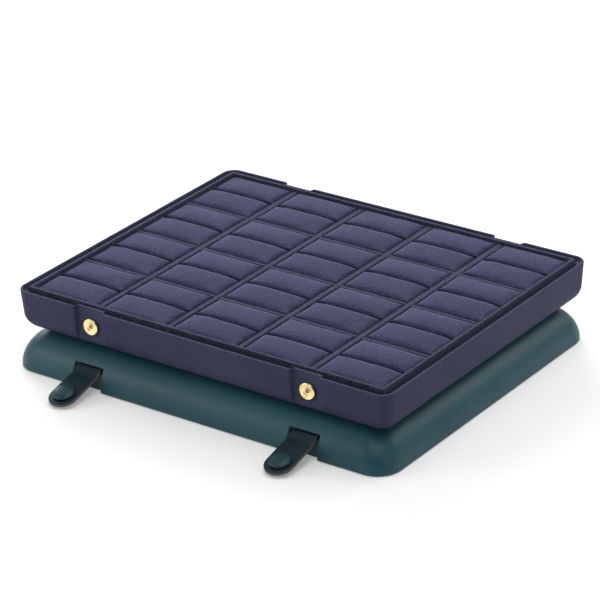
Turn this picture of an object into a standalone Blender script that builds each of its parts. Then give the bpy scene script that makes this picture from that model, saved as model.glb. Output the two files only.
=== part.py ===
# Jewelry case: a ring tray that stands on its own strap lid.
# Metres, +Z up, the lid's rim on the ground at z = 0, the long side along X, the front towards -Y.
import math

import bmesh
import bpy
from mathutils import Matrix, Vector

# Fit between touching pieces
GAP = 0.0003

# Wall build-up: leather skin, board shell, suede
LEATHER = 0.0008
LID_BOARD = 0.0024
SUEDE = 0.0008

# Strap channels in both walls
STRAP_X = 0.0700
STRAP_W = 0.0160
STRAP_T = 0.0017
CHANNEL_DEPTH = 0.0028
CHANNEL_SIDE = 0.0013
CHANNEL_HALF = STRAP_W / 2 + 0.0005
CHANNEL_BOARD = 0.0012
SLIT_DEPTH = 0.0016
SLIT_Z = 0.0114

# Tray
TRAY_W = 0.2400
TRAY_D = 0.1920
TRAY_H = 0.0231
FOOT_R = 0.00925
DRAFT = 0.00085
TRAY_CORNER = 0.0076
TRAY_SHIFT_Y = 0.0034
TRAY_FLOOR = 0.0030
LEDGE_DROP = 0.0016
WELT_W = 0.0018
LEDGE = CHANNEL_DEPTH + LEATHER + GAP + CHANNEL_BOARD
CAVITY_CORNER = 0.0028

# Lid, crown up
LID_OVERHANG = 0.0015
LID_W = TRAY_W + 2 * LID_OVERHANG
LID_D = TRAY_D + 2 * LID_OVERHANG
LID_H = 0.0210
CROWN_R = 0.0200
LID_CORNER = 0.0138
CORNER_SHRINK = 0.3

# Straps and press studs
STRAP_BEND = 0.0019
BEND_RUN = 0.0028
STRAP_SLACK = 0.0003
CAP_END = 0.0090
CAP_R = 0.00615
CAP_H = 0.0026
POST_R = 0.0014
STUD_R = 0.0044
STUD_PIN_R = 0.0020
STUD_H = 0.0024
SOCKET_R = 0.00475
SOCKET_DROP = 0.0106
CAP_AT = SLIT_Z + SOCKET_DROP + STRAP_SLACK
WASHER_R = 0.0034
WASHER_T = 0.0005

# Suede insert
COLUMNS = 5
ROWS = 4
BASE_T = 0.0015
FRAME_RISE = 0.0008
FRAME_T = 0.0020
FRAME_LIP = 0.0032
FRAME_RELIEF = WASHER_T + GAP
LONG_T = 0.0034
LONG_DROP = 0.0010
CROSS_T = 0.0025
CROSS_DROP = 0.0010
PAD_CREST = 0.0004
PAD_OUTER = 0.0019
PAD_LIP = 0.0004
PAD_HEEL = 0.0014
PAD_END = 0.0017
PAD_SLIT = 0.0007
PAD_SLIT_DEPTH = 0.0125
PAD_UNEVEN = 0.00012

# Half sizes and levels
LX, LY = LID_W / 2, LID_D / 2
TX, TY = TRAY_W / 2, TRAY_D / 2
LID_CHANNEL = LY - CHANNEL_DEPTH
TRAY_CHANNEL = TY - CHANNEL_DEPTH
PIVOT_Y = LID_CHANNEL - SLIT_DEPTH + GAP + STRAP_T / 2
CORE_T = LEATHER + GAP
CORE_IN = CORE_T + LID_BOARD
LINING_OUT = CORE_IN + GAP
LINING_IN = LINING_OUT + SUEDE
TRAY_Z = LID_H + GAP
RIM_Z = TRAY_Z + TRAY_H
CAVITY_Z = TRAY_Z + CORE_T + TRAY_FLOOR
BASE_Z = CAVITY_Z + GAP
INSERT_Z = BASE_Z + BASE_T + GAP
CAVITY_X, CAVITY_Y = TX - LEDGE, TY - LEDGE
FRAME_X, FRAME_Y = CAVITY_X - GAP, CAVITY_Y - GAP
INNER_X, INNER_Y = FRAME_X - FRAME_T, FRAME_Y - FRAME_T
FRAME_TOP = RIM_Z + FRAME_RISE
LONG_TOP = RIM_Z - LONG_DROP
CROSS_TOP = RIM_Z - CROSS_DROP
LAP_Z = (INSERT_Z + CROSS_TOP) / 2
CELL_X = (2 * INNER_X - (COLUMNS - 1) * LONG_T) / COLUMNS
CELL_Y = (2 * INNER_Y - (ROWS - 1) * CROSS_T) / ROWS
LONG_XS = [-INNER_X + (i + 1) * CELL_X + (i + 0.5) * LONG_T for i in range(COLUMNS - 1)]
CROSS_YS = [-INNER_Y + (j + 1) * CELL_Y + (j + 0.5) * CROSS_T for j in range(ROWS - 1)]

# Colours: base colour, roughness, metallic
NAVY_LEATHER = ((0.050, 0.050, 0.090), 0.55, 0.0)
TEAL_LEATHER = ((0.027, 0.070, 0.085), 0.55, 0.0)
STRAP_LEATHER = ((0.016, 0.030, 0.042), 0.55, 0.0)
NAVY_SUEDE = ((0.080, 0.080, 0.155), 0.95, 0.0)
DIVIDER_SUEDE = ((0.095, 0.095, 0.175), 0.95, 0.0)
LINING_SUEDE = ((0.070, 0.070, 0.120), 0.95, 0.0)
BOARD = ((0.180, 0.150, 0.120), 0.85, 0.0)
BRASS = ((0.800, 0.600, 0.250), 0.28, 1.0)


def clear_scene():
    for ob in list(bpy.data.objects):
        bpy.data.objects.remove(ob, do_unlink=True)
    for me in list(bpy.data.meshes):
        bpy.data.meshes.remove(me)
    for mat in list(bpy.data.materials):
        bpy.data.materials.remove(mat)


def material(name, colour, roughness, metallic):
    mat = bpy.data.materials.new(name)
    mat.use_nodes = True
    shader = mat.node_tree.nodes["Principled BSDF"]
    shader.inputs["Base Color"].default_value = (colour[0], colour[1], colour[2], 1.0)
    shader.inputs["Roughness"].default_value = roughness
    shader.inputs["Metallic"].default_value = metallic
    mat.diffuse_color = (colour[0], colour[1], colour[2], 1.0)
    return mat


def finish(bm, name, look, origin=(0.0, 0.0, 0.0), smooth_deg=32):
    origin = Vector(origin)
    bmesh.ops.remove_doubles(bm, verts=bm.verts, dist=2e-7)
    bmesh.ops.recalc_face_normals(bm, faces=bm.faces)
    if bm.calc_volume(signed=True) < 0:
        bmesh.ops.reverse_faces(bm, faces=bm.faces)
    bmesh.ops.translate(bm, verts=bm.verts, vec=-origin)
    me = bpy.data.meshes.new(name)
    bm.to_mesh(me)
    bm.free()
    me.shade_smooth()
    me.set_sharp_from_angle(angle=math.radians(smooth_deg))
    ob = bpy.data.objects.new(name, me)
    ob.location = origin
    bpy.context.scene.collection.objects.link(ob)
    me.materials.append(material(name + "_look", *look))
    return ob


def cut(ob, cutter):
    mod = ob.modifiers.new("holes", "BOOLEAN")
    mod.operation = "DIFFERENCE"
    mod.solver = "EXACT"
    mod.object = cutter


def make_cutter(bm, name):
    ob = finish(bm, name, BOARD)
    ob.hide_render = True
    ob.display_type = "WIRE"
    return ob


# Rows of points joined to a skin, capped at both ends or closed on itself
def loft(rows, closed=False):
    bm = bmesh.new()
    rings = [[bm.verts.new(p) for p in row] for row in rows]
    pairs = list(zip(rings[:-1], rings[1:]))
    if closed:
        pairs.append((rings[-1], rings[0]))
    count = len(rings[0])
    for low, high in pairs:
        for i in range(count):
            j = (i + 1) % count
            bm.faces.new((low[i], low[j], high[j], high[i]))
    if not closed:
        bm.faces.new(list(reversed(rings[0])))
        bm.faces.new(rings[-1])
    return bm


# Turned piece: profile of (radius, height) about the Z axis
def revolve(profile, steps):
    bm = bmesh.new()
    verts = [bm.verts.new((r, 0.0, z)) for r, z in profile]
    edges = [bm.edges.new(pair) for pair in zip(verts[:-1], verts[1:])]
    if profile[0][0] > 0 and profile[-1][0] > 0:
        edges.append(bm.edges.new((verts[-1], verts[0])))
    bmesh.ops.spin(bm, geom=verts + edges, cent=(0, 0, 0), axis=(0, 0, 1), angle=math.tau,
                   steps=steps, use_duplicate=False, use_merge=True)
    return bm


# Plan outline of a wall: half sizes hx and hy, corner r, channel floor measured from the middle,
# out: how far this surface lies inside the leather's outer face, which widens the channel
def plan(hx, hy, r, z, floor=None, out=0.0, shift=0.0):
    depth = 0.0 if floor is None else max(0.0, hy - floor)
    half = CHANNEL_HALF + out
    sides = [(-half - CHANNEL_SIDE, 0.0), (-half - 0.3 * CHANNEL_SIDE, 0.24), (-half, 1.0),
             (half, 1.0), (half + 0.3 * CHANNEL_SIDE, 0.24), (half + CHANNEL_SIDE, 0.0)]
    points = [(station + dx, -(hy - s * depth)) for station in (-STRAP_X, STRAP_X) for dx, s in sides]
    for middle, start in ((-(hy - r), -90), (hy - r, 0)):
        for k in range(5):
            a = math.radians(start + 22.5 * k)
            points.append((hx - r + r * math.cos(a), middle + r * math.sin(a)))
    points += [(-x, -y) for x, y in points]
    return [Vector((x, y + shift, z)) for x, y in points]


# Lid surfaces

def lid_row(inset, out, z, floor=None):
    r = max(LID_CORNER - CORNER_SHRINK * (inset - out) - out, 0.001)
    return plan(LX - inset, LY - inset, r, z, floor, out)


def crown_row(angle, out, floor=None):
    r = CROWN_R - out
    inset = CROWN_R - r * math.cos(angle)
    return lid_row(inset, out, LID_H - CROWN_R + r * math.sin(angle), floor)


def crown_angle(z, out):
    return math.asin((z - (LID_H - CROWN_R)) / (CROWN_R - out))


# Crown from the rim upwards on the outer faces of the skin or the board: channel, slit, plain crown
def crown_outside(out):
    low = SLIT_Z - STRAP_T / 2 - 2 * GAP - out
    high = SLIT_Z + STRAP_T / 2 + GAP + out
    step = 0.0001
    floor = LID_CHANNEL - out
    deep = floor - SLIT_DEPTH
    first, last = crown_angle(low, out), crown_angle(high + step, out)
    rows = [crown_row(a, out, floor) for a in (0.0, first * 0.5, first)]
    rows.append(crown_row(crown_angle(low + step, out), out, deep))
    rows.append(crown_row(crown_angle(high, out), out, deep))
    rows.append(crown_row(last, out))
    top = math.pi / 2
    rows += [crown_row(last + (top - last) * f, out) for f in (0.28, 0.54, 0.78, 1.0)]
    return rows


# Crown on the inner faces: the wall bulges in behind the channel, more so behind the slit
def crown_inside(out, extra, rim):
    floor = LID_CHANNEL - CORE_T - CHANNEL_BOARD - extra
    deep = floor - SLIT_DEPTH - 0.0004
    rows = [lid_row(out, out, rim, floor), crown_row(crown_angle(0.003, out), out, floor)]
    rows.append(crown_row(crown_angle(0.005, out), out, deep))
    rows += [crown_row(math.radians(a), out, deep) for a in (33, 50, 68, 90)]
    return rows


def build_lid():
    skin_edge = [lid_row(0.0, 0.0, 0.0006, LID_CHANNEL),
                 lid_row(0.0003, 0.0003, GAP, LID_CHANNEL - 0.0003)]
    inner_edge = [lid_row(LEATHER, LEATHER, GAP, LID_CHANNEL - LEATHER)]
    rows = list(reversed(crown_outside(0.0))) + skin_edge + inner_edge + crown_outside(LEATHER)
    finish(loft(rows), "lid_cover", TEAL_LEATHER)

    foot = [lid_row(CORE_T, CORE_T, 0.0, LID_CHANNEL - CORE_T)]
    rows = list(reversed(crown_outside(CORE_T))) + foot + crown_inside(CORE_IN, 0.0, 0.0)
    finish(loft(rows), "lid_core", BOARD)

    rows = list(reversed(crown_inside(LINING_OUT, GAP, GAP)))
    rows += crown_inside(LINING_IN, GAP + SUEDE, GAP)
    finish(loft(rows), "lid_lining", LINING_SUEDE)


# Tray surfaces, heights measured from the rim downwards

def tray_row(inset, out, drop, floor=None, corner=None):
    r = max(TRAY_CORNER - CORNER_SHRINK * (inset - out) - out, 0.001) if corner is None else corner
    return plan(TX - inset, TY - inset, r, RIM_Z - drop, floor, out, TRAY_SHIFT_Y)


def foot_rows(out):
    rows = []
    for deg in (90, 72, 54, 36, 18, 0):
        a = math.radians(deg)
        inset = DRAFT + FOOT_R - (FOOT_R - out) * math.cos(a)
        drop = TRAY_H - FOOT_R + (FOOT_R - out) * math.sin(a)
        rows.append(tray_row(inset, out, drop, TRAY_CHANNEL - out))
    return rows


def build_tray():
    rows = foot_rows(0.0)
    half = WELT_W / 2
    for deg in (180, 135, 90, 45, 0):
        a = math.radians(deg)
        inset = half + half * math.cos(a)
        rows.append(tray_row(inset, inset, half - half * math.sin(a), TRAY_CHANNEL - inset))
    rows.append(tray_row(WELT_W, WELT_W, LEDGE_DROP, TRAY_CHANNEL - WELT_W))
    rows.append(tray_row(LEDGE, WELT_W, LEDGE_DROP, None, GAP))
    rows.append(tray_row(LEDGE, WELT_W, LEDGE_DROP + LEATHER, None, GAP))
    rows.append(tray_row(LEATHER, LEATHER, LEDGE_DROP + LEATHER, TRAY_CHANNEL - LEATHER))
    rows += list(reversed(foot_rows(LEATHER)))
    cover = finish(loft(rows), "tray_cover", NAVY_LEATHER)

    rows = foot_rows(CORE_T)
    top = LEDGE_DROP + LEATHER + GAP
    rows.append(tray_row(CORE_T, CORE_T, top, TRAY_CHANNEL - CORE_T))
    rows.append(tray_row(LEDGE, CORE_T, top, None, CAVITY_CORNER))
    rows.append(tray_row(LEDGE, CORE_T, RIM_Z - CAVITY_Z, None, CAVITY_CORNER))
    core = finish(loft(rows), "tray_core", BOARD)

    holes = bmesh.new()
    for matrix in socket_places():
        pin = revolve([(0.0, -0.0045), (POST_R + GAP, -0.0045), (POST_R + GAP, 0.0015), (0.0, 0.0015)], 12)
        pin.transform(matrix)
        me = bpy.data.meshes.new("pin")
        pin.to_mesh(me)
        pin.free()
        holes.from_mesh(me)
        bpy.data.meshes.remove(me)
    cutter = make_cutter(holes, "socket_hole_cutter")
    cut(cover, cutter)
    cut(core, cutter)


# Matrices that carry +Z to the outward direction of each socket, with the channel floor at z = 0
def socket_places():
    places = []
    for side, x in STATIONS:
        turn = Matrix.Rotation(0.0 if side < 0 else math.pi, 4, "Z")
        lay = Matrix.Rotation(math.radians(90), 4, "X")
        spot = Vector((x, side * TRAY_CHANNEL + TRAY_SHIFT_Y, RIM_Z - SOCKET_DROP))
        places.append(Matrix.Translation(spot) @ turn @ lay)
    return places


STATIONS = [(-1, -STRAP_X), (-1, STRAP_X), (1, -STRAP_X), (1, STRAP_X)]
NAMES = ["front_left", "front_right", "back_left", "back_right"]


def build_sockets():
    stem = -(LEATHER + GAP + CHANNEL_BOARD + GAP + WASHER_T)
    rim = SOCKET_R
    dish = STUD_PIN_R + 0.0005
    profile = [(0.0, stem), (POST_R, stem), (POST_R, GAP), (rim - 0.0004, GAP), (rim, GAP + 0.0004),
               (rim - 0.0003, GAP + 0.0009), (rim - 0.0011, GAP + 0.0012), (dish + 0.0003, GAP + 0.0010),
               (dish, GAP + 0.0003), (0.0, GAP + 0.0003)]
    ring = [(POST_R + GAP, stem), (WASHER_R, stem), (WASHER_R, stem + WASHER_T),
            (POST_R + GAP, stem + WASHER_T)]
    for name, matrix in zip(NAMES, socket_places()):
        bm = revolve(profile, 18)
        bm.transform(matrix)
        finish(bm, "snap_socket_" + name, BRASS)
        bm = revolve(ring, 14)
        bm.transform(matrix)
        finish(bm, "socket_washer_" + name, BRASS)


# Strap path away from the slit: it bends over the slit's lower edge, then falls evenly

def strap_path(fall):
    points = [Vector((0.0, 0.0, 0.0))]
    total = [0.0]
    step = 0.0001
    run = 0.0
    while total[-1] < CAP_AT + CAP_END:
        run += step
        drop = STRAP_BEND * (1 - math.exp(-(run / BEND_RUN) ** 2)) + fall * run
        points.append(Vector((0.0, -run, -drop)))
        total.append(total[-1] + (points[-1] - points[-2]).length)
    return points, total


# The evenest fall at which the stud under the strap comes to rest on the table
def resting_path():
    steep, gentle = 0.6, 0.0
    for _ in range(24):
        fall = (steep + gentle) / 2
        path = strap_path(fall)
        spot, run, up = strap_at(path, CAP_AT)
        reach = STRAP_T / 2 + GAP + STUD_H
        lowest = SLIT_Z + spot.z - reach * up.z - (STUD_PIN_R + 0.0002) * abs(run.z)
        if lowest < GAP:
            steep = fall
        else:
            gentle = fall
    return strap_path(gentle)


def strap_at(path, along):
    points, total = path
    along = min(max(along, 0.0), total[-1])
    k = max(i for i in range(len(total) - 1) if total[i] <= along)
    f = (along - total[k]) / (total[k + 1] - total[k])
    spot = points[k].lerp(points[k + 1], f)
    run = (points[k + 1] - points[k]).normalized()
    return spot, run, Vector((0.0, run.z, -run.y))


def strap_rows(path):
    length = CAP_AT + CAP_END
    half_t = STRAP_T / 2
    half_w = STRAP_W / 2
    rows = []
    stops = [(-0.92, 0.42), (-0.6, 0.8), (0.0, 1.0)]
    plain = [0.4 * BEND_RUN, 0.8 * BEND_RUN, 1.2 * BEND_RUN, 1.7 * BEND_RUN, 2.4 * BEND_RUN, 0.5 * CAP_AT]
    end = length - half_w
    tip = [0.0, 24.0, 46.0, 64.0, 80.0]
    items = [(f * half_t, half_w, g) for f, g in stops]
    items += [(a, half_w, 1.0) for a in plain]
    items += [(end + half_w * math.sin(math.radians(a)), half_w * math.cos(math.radians(a)), 1.0) for a in tip]
    for along, w, scale in items:
        spot, run, up = strap_at(path, along)
        if along < 0:
            spot = spot + run * along
        t = half_t * scale
        c = min(0.0003, 0.4 * t)
        sides = [(w, -t + c), (w, t - c), (w - c, t), (-w + c, t), (-w, t - c), (-w, -t + c),
                 (-w + c, -t), (w - c, -t)]
        rows.append([spot + Vector((x, 0.0, 0.0)) + up * h for x, h in sides])
    return rows


def build_straps():
    path = resting_path()
    spot, run, up = strap_at(path, CAP_AT)
    stand = Matrix((
        (1.0, 0.0, 0.0, spot.x),
        (0.0, -run.y, up.y, spot.y),
        (0.0, -run.z, up.z, spot.z),
        (0.0, 0.0, 0.0, 1.0)))
    top = STRAP_T / 2 + GAP
    pin = -(STRAP_T / 2 + GAP + 0.0006)
    cap = [(0.0, pin), (POST_R, pin), (POST_R, top), (CAP_R - 0.0008, top), (CAP_R - 0.0001, top + 0.0005),
           (CAP_R, top + 0.0009), (CAP_R * 0.93, top + 0.0015), (CAP_R * 0.72, top + CAP_H * 0.80),
           (CAP_R * 0.42, top + CAP_H * 0.95), (0.0, top + CAP_H)]
    bore = POST_R + GAP
    low = -(STRAP_T / 2 + GAP)
    stud = [(bore, low), (STUD_R, low), (STUD_R, low - 0.0005), (STUD_PIN_R + 0.0004, low - 0.0006),
            (STUD_PIN_R, low - 0.0009), (STUD_PIN_R + 0.0002, low - STUD_H + 0.0004),
            (STUD_PIN_R - 0.0001, low - STUD_H), (bore, low - STUD_H)]
    for name, (side, x) in zip(NAMES, STATIONS):
        turn = Matrix.Rotation(0.0 if side < 0 else math.pi, 4, "Z")
        pivot = Vector((x, side * PIVOT_Y, SLIT_Z))
        place = Matrix.Translation(pivot) @ turn
        bm = loft(strap_rows(path))
        bm.transform(place)
        strap = finish(bm, "strap_" + name, STRAP_LEATHER, pivot)
        hole = revolve([(0.0, -0.003), (bore, -0.003), (bore, 0.003), (0.0, 0.003)], 12)
        hole.transform(place @ stand)
        cut(strap, make_cutter(hole, "post_hole_cutter_" + name))
        bm = revolve(cap, 18)
        bm.transform(place @ stand)
        finish(bm, "snap_cap_" + name, STRAP_LEATHER, pivot)
        bm = revolve(stud, 14)
        bm.transform(place @ stand)
        finish(bm, "snap_stud_" + name, BRASS, pivot)


# Suede insert

def slab(outline, axis, thickness, top, round_r, name, look):
    bm = bmesh.new()
    face = bm.faces.new([bm.verts.new(p) for p in outline])
    move = axis * thickness
    made = bmesh.ops.extrude_face_region(bm, geom=[face])
    verts = [v for v in made["geom"] if isinstance(v, bmesh.types.BMVert)]
    bmesh.ops.translate(bm, verts=verts, vec=move)
    bm.normal_update()
    flat = [e for e in bm.edges if abs(e.verts[0].co.z - top) < 1e-6 and abs(e.verts[1].co.z - top) < 1e-6
            and abs((e.verts[0].co - e.verts[1].co).normalized().dot(axis)) < 0.1]
    bmesh.ops.bevel(bm, geom=flat, offset=round_r, offset_type="OFFSET", segments=2, profile=0.5,
                    affect="EDGES", material=-1)
    return finish(bm, name, look)


def build_insert():
    cy = TRAY_SHIFT_Y
    x, y = INNER_X + FRAME_T, INNER_Y + FRAME_T
    bm = bmesh.new()
    bmesh.ops.create_cube(bm, size=1.0)
    bmesh.ops.scale(bm, verts=bm.verts, vec=(2 * x, 2 * y, BASE_T))
    bmesh.ops.translate(bm, verts=bm.verts, vec=(0.0, cy, BASE_Z + BASE_T / 2))
    upright = [e for e in bm.edges if abs(e.verts[0].co.z - e.verts[1].co.z) > BASE_T / 2]
    bmesh.ops.bevel(bm, geom=upright, offset=CAVITY_CORNER - GAP, offset_type="OFFSET", segments=4,
                    profile=0.5, affect="EDGES", material=-1)
    finish(bm, "insert_base", BOARD)

    def corner_row(inset, z):
        hx, hy = FRAME_X - inset, FRAME_Y - inset
        return [Vector((sx * hx, cy + sy * hy, z)) for sx, sy in ((-1, -1), (1, -1), (1, 1), (-1, 1))]

    c = 0.0004
    low = FRAME_TOP - FRAME_LIP
    rows = [corner_row(FRAME_RELIEF, INSERT_Z), corner_row(FRAME_RELIEF, low), corner_row(0.0, low),
            corner_row(0.0, FRAME_TOP - c), corner_row(c, FRAME_TOP), corner_row(FRAME_T - c, FRAME_TOP),
            corner_row(FRAME_T, FRAME_TOP - c), corner_row(FRAME_T, INSERT_Z)]
    finish(loft(rows, closed=True), "insert_frame", DIVIDER_SUEDE)

    for i, mid in enumerate(LONG_XS):
        end = INNER_Y - GAP
        slot = CROSS_T / 2 + GAP
        pts = [(-end, INSERT_Z)]
        for cross in CROSS_YS:
            pts += [(cross - slot, INSERT_Z), (cross - slot, LAP_Z + GAP / 2),
                    (cross + slot, LAP_Z + GAP / 2), (cross + slot, INSERT_Z)]
        pts += [(end, INSERT_Z), (end, LONG_TOP), (-end, LONG_TOP)]
        side = [Vector((mid - LONG_T / 2, cy + v, z)) for v, z in pts]
        slab(side, Vector((1, 0, 0)), LONG_T, LONG_TOP, 0.0005, "divider_long_%d" % (i + 1), DIVIDER_SUEDE)

    for j, mid in enumerate(CROSS_YS):
        end = INNER_X - GAP
        slot = LONG_T / 2 + GAP
        pts = [(end, CROSS_TOP), (end, INSERT_Z), (-end, INSERT_Z), (-end, CROSS_TOP)]
        for long_x in LONG_XS:
            pts += [(long_x - slot, CROSS_TOP), (long_x - slot, LAP_Z - GAP / 2),
                    (long_x + slot, LAP_Z - GAP / 2), (long_x + slot, CROSS_TOP)]
        side = [Vector((v, cy + mid - CROSS_T / 2, z)) for v, z in pts]
        slab(side, Vector((0, 1, 0)), CROSS_T, CROSS_TOP, 0.0004, "divider_cross_%d" % (j + 1), DIVIDER_SUEDE)

    for i in range(COLUMNS):
        for j in range(ROWS):
            px = -INNER_X + (i + 0.5) * CELL_X + i * LONG_T
            py = -INNER_Y + (j + 0.5) * CELL_Y + j * CROSS_T
            bm = loft(pad_rows(2.0 * i + 3.1 * j))
            bmesh.ops.translate(bm, verts=bm.verts, vec=(px, cy + py, 0.0))
            finish(bm, "ring_pad_c%d_r%d" % (i + 1, j + 1), NAVY_SUEDE, smooth_deg=60)


# Ring pad: two cushioned rolls on a joined foot with the tight slit between them. The front roll
# stays high up to its lip at the slit, the back one rises from a lower heel, and the ends droop.
# No two rolls are stuffed quite alike, so the turn shifts a slight unevenness along each
def roll_drop(side, u):
    crest_at, front, back = (0.35, PAD_OUTER, PAD_LIP) if side < 0 else (-0.15, PAD_HEEL, PAD_OUTER)
    if u < crest_at:
        return front * ((crest_at - u) / (crest_at + 1)) ** 2
    return back * ((u - crest_at) / (1 - crest_at)) ** 2


def pad_rows(turn):
    hx = CELL_X / 2 - GAP
    hy = CELL_Y / 2 - GAP
    lip = PAD_SLIT / 2
    crest = RIM_Z + PAD_CREST
    slit = crest - PAD_SLIT_DEPTH
    edge = 2 * PAD_SLIT
    rows = []
    for f in (-1.0, -0.92, -0.72, 0.03, 0.76, 0.93, 1.0):
        droop = abs(f) ** 2.6
        pinch = 0.0005 * abs(f) ** 7
        pts = []
        for side in (-1, 1):
            roll = []
            for u in (-1.0, -0.84, -0.5, 0.02, 0.52, 0.84, 1.0):
                swell = PAD_UNEVEN * math.sin(4.0 * f + 6.0 * side * u + turn)
                draw = PAD_UNEVEN * (1 + math.sin(5.0 * f + 3.0 * u + side + 2 * turn)) / 2
                slip = 2 * PAD_UNEVEN * (1 - f * f) * math.sin(9.0 * u + side + turn)
                slip -= PAD_UNEVEN * f * (1 + math.sin(11.0 * u + 2 * side + turn))
                half = (hy - lip) / 2 - pinch - draw
                drop = roll_drop(side, side * u) * (1 - droop) + PAD_END * droop
                drop += edge * (abs(u) ** 14 + abs(f) ** 14) / 2
                roll.append((slip, side * ((hy + lip) / 2 + u * half), crest - drop + swell))
            foot = (-PAD_UNEVEN * (f - side * (1 - f * f)), side * (hy - 0.0008 - draw), INSERT_Z)
            low = (-PAD_UNEVEN * (2 * f + side), side * lip, slit + PAD_UNEVEN * math.sin(7.0 * f + side + turn))
            half_pad = [low] + roll + [foot]
            pts += list(reversed(half_pad)) if side < 0 else half_pad
        rows.append([Vector((f * hx + slip, v, z)) for slip, v, z in pts])
    return rows


clear_scene()
build_lid()
build_straps()
build_tray()
build_sockets()
build_insert()
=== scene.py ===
# %% [markdown]
# # A ring tray standing on its own lid
# The case has two halves. The lower one here is the lid, a low crowned cap covered in teal
# leatherette, turned crown up on the table. The upper one is the tray, a flat box covered in navy
# leatherette, with suede cells whose rolls hold rings. Straps with press studs come out of slits
# in the lid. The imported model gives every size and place, so it is loaded first and never moved.

# %% Load the frame
import math

import bmesh
import bpy
from mathutils import Matrix, Vector, noise


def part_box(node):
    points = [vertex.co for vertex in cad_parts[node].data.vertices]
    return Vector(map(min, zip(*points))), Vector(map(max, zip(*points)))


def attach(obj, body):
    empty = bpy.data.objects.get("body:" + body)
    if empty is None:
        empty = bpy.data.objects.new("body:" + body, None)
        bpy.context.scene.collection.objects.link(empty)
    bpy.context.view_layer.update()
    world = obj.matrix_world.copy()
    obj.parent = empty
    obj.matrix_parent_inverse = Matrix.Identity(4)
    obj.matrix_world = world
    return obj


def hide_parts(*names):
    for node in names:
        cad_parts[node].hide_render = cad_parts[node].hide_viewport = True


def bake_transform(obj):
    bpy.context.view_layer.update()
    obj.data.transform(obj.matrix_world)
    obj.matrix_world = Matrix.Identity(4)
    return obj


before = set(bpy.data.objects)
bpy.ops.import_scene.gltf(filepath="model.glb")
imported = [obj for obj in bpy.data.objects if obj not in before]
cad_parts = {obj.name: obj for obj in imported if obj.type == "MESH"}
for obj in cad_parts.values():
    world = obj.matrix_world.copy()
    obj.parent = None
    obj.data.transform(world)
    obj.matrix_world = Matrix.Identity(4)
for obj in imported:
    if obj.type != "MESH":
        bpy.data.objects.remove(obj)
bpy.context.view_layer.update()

# %% [markdown]
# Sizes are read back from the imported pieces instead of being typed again, so that the dressed
# pieces follow them. What a box can't tell, such as a corner radius, is named once here in metres.

# %% Sizes of the two halves
lid_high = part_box("lid_cover")[1]
tray_low, tray_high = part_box("tray_cover")
frame_low, frame_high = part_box("insert_frame")
LX, LY, LID_H = lid_high.x, lid_high.y, lid_high.z
TX, TY = tray_high.x, (tray_high.y - tray_low.y) / 2
TRAY_Y = (tray_high.y + tray_low.y) / 2
TRAY_Z, RIM_Z = tray_low.z, tray_high.z
FRAME_X, FRAME_Y, FRAME_TOP = frame_high.x, (frame_high.y - frame_low.y) / 2, frame_high.z
STRAP_X = 0.0700
CHANNEL_DEPTH = 0.0028
CHANNEL_HALF = 0.0085
CHANNEL_SIDE = 0.0013
SLIT_DEPTH = 0.0016
SLIT_Z = 0.0114
STRAP_T = 0.0017
GAP = 0.0003
LEATHER = 0.0008
CROWN_R = 0.0200
FOOT_R = 0.00925
DRAFT = 0.00085
WELT = 0.0014
LEDGE_DROP = 0.0016
LID_CORNER = 0.0138
TRAY_CORNER = 0.0076
CORNER_SHRINK = 0.3
LID_CHANNEL = LY - CHANNEL_DEPTH
TRAY_CHANNEL = TY - CHANNEL_DEPTH
PIVOT_Y = LID_CHANNEL - SLIT_DEPTH + GAP + STRAP_T / 2
print("lid", round(2000 * LX), "x", round(2000 * LY), "mm")
print("tray", round(2000 * TX), "x", round(2000 * TY), "mm")

# %% [markdown]
# ## Camera
# The photograph was taken with a long lens from the front right, some way above the rim. The lens,
# the place and the three directions of the camera were worked out from the corners of the tray, and
# they are written here as they came out, so that the picture and the photograph lie on each other.

# %% Camera at the photograph's place
RIGHT = Vector((0.81091126, 0.58411817, -0.03505558))
UP = Vector((-0.22548205, 0.36718635, 0.90240347))
AHEAD = Vector((-0.5399822, 0.72386473, -0.42946371))
camera_data = bpy.data.cameras.new("camera")
camera_data.sensor_width = 36.0
camera_data.lens = 188.70
camera = bpy.data.objects.new("camera", camera_data)
bpy.context.scene.collection.objects.link(camera)
turn = Matrix((RIGHT, UP, -AHEAD)).transposed()
spot = Vector((0.90809, -1.22050, 0.70717)) + Vector((0.0, TRAY_Y, FRAME_TOP))
camera.matrix_world = Matrix.Translation(spot) @ turn.to_4x4()
camera_data.clip_start, camera_data.clip_end = 0.05, 50.0
bpy.context.scene.camera = camera
print("camera", [round(c, 3) for c in camera.location])

# %% [markdown]
# ## Node helpers
# The surround, the paper and the finishes are all made of nodes, so a few short helpers come first.
# Each adds one node to a tree, sets or links its inputs, and gives back its output. Numbers and
# colours are typed in, and anything else is taken as a socket to link.

# %% Node helpers


def feed(tree, socket, value):
    if isinstance(value, (int, float)):
        socket.default_value = value
    elif isinstance(value, tuple):
        socket.default_value = value + (1.0,)
    else:
        tree.links.new(value, socket)


def math_node(tree, operation, *values):
    node = tree.nodes.new("ShaderNodeMath")
    node.operation = operation
    for socket, value in zip(node.inputs, values):
        feed(tree, socket, value)
    return node.outputs[0]


def noise_node(tree, vector, scale, detail=2.0, rough=0.5):
    node = tree.nodes.new("ShaderNodeTexNoise")
    for socket, value in (("Vector", vector), ("Scale", scale),
                          ("Detail", detail), ("Roughness", rough)):
        feed(tree, node.inputs[socket], value)
    return node.outputs["Fac"]


def blend_colours(tree, factor, first, second):
    node = tree.nodes.new("ShaderNodeMix")
    node.data_type = "RGBA"
    for socket, value in (("Factor", factor), ("A", first), ("B", second)):
        feed(tree, node.inputs[socket], value)
    return node.outputs["Result"]


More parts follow.
